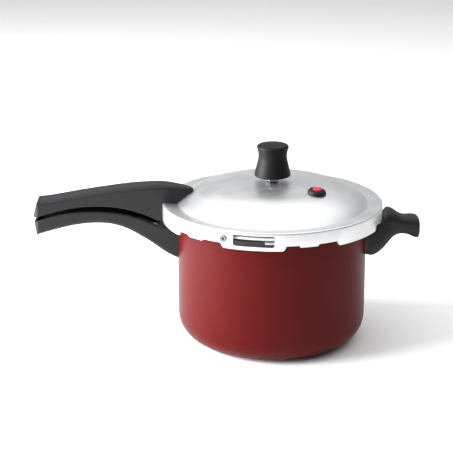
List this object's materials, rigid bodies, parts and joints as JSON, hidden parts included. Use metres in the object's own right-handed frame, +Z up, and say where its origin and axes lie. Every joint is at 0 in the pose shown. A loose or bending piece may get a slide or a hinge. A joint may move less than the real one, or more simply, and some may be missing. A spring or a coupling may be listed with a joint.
{
  "type": "pressure cooker",
  "caption": "Stovetop pressure cooker with a twist-lock lid, long two-part handle, helper handle, weight regulator and pressure pin.",
  "frame": {"origin": "centre of the pot's underside, on the surface it stands on", "axes": "+Z up along the pot's axis, -X along the long handle, +X towards the helper handle, -Y the front with the skirt window"},
  "size_m": [0.4181, 0.2382, 0.216],
  "materials": {
    "pot_enamel": "satin red outside, bare machined base, dark non-stick inside",
    "phenolic": "satin black moulded phenolic",
    "knob_phenolic": "satin black moulded phenolic",
    "strap_steel": "pressed stainless strap",
    "rivet_aluminium": "bright aluminium rivet",
    "screw_steel": "zinc-plated steel",
    "silicone": "translucent grey-white silicone",
    "lid_aluminium": "polished aluminium",
    "vent_steel": "turned stainless steel",
    "black_rubber": "black rubber",
    "spring_steel": "spring steel",
    "pin_red": "glossy red"
  },
  "bodies": {
    "pot": {"pot_shell": "pot_enamel", "body_handle": "phenolic", "body_handle_bracket": "strap_steel", "body_bracket_rivets": "rivet_aluminium", "body_handle_screw": "screw_steel", "body_handle_nut": "screw_steel", "helper_handle": "phenolic", "helper_bracket": "strap_steel", "helper_bracket_rivets": "rivet_aluminium", "helper_screw": "screw_steel", "helper_nut": "screw_steel"},
    "seal": {"gasket": "silicone"},
    "lid": {"lid_shell": "lid_aluminium", "lid_handle": "phenolic", "lid_handle_bracket": "strap_steel", "lid_bracket_rivets": "rivet_aluminium", "lid_handle_screw": "screw_steel", "skirt_rivet": "rivet_aluminium", "vent_pipe": "vent_steel", "vent_pipe_washer": "black_rubber", "vent_pipe_nut": "vent_steel", "valve_grommet": "black_rubber", "pin_bushing": "vent_steel"},
    "regulator_clip": {"weight_clip": "spring_steel"},
    "regulator_weight": {"weight_cap": "knob_phenolic", "weight_core": "vent_steel", "weight_needle": "vent_steel"},
    "pin": {"pressure_pin": "pin_red", "pin_foot": "vent_steel"}
  },
  "joints": [
    {"name": "lid_lift", "type": "slide", "parent": "pot", "child": "seal", "axis": [0, 0, 1], "range_m": [0, 0.12]},
    {"name": "lid_twist", "type": "hinge", "parent": "seal", "child": "lid", "pos_m": [0, 0, 0.15], "axis": [0, 0, 1], "range_deg": [0, 28]},
    {"name": "regulator_lift", "type": "slide", "parent": "lid", "child": "regulator_clip", "axis": [0, 0, 1], "range_m": [0, 0.03]},
    {"name": "regulator_spin", "type": "hinge", "parent": "regulator_clip", "child": "regulator_weight", "pos_m": [0, 0, 0.2], "axis": [0, 0, 1], "continuous": true},
    {"name": "pin_rise", "type": "slide", "parent": "lid", "child": "pin", "axis": [0.1148, -0.0958, 0.9888], "range_m": [0, 0.003]}
  ]
}
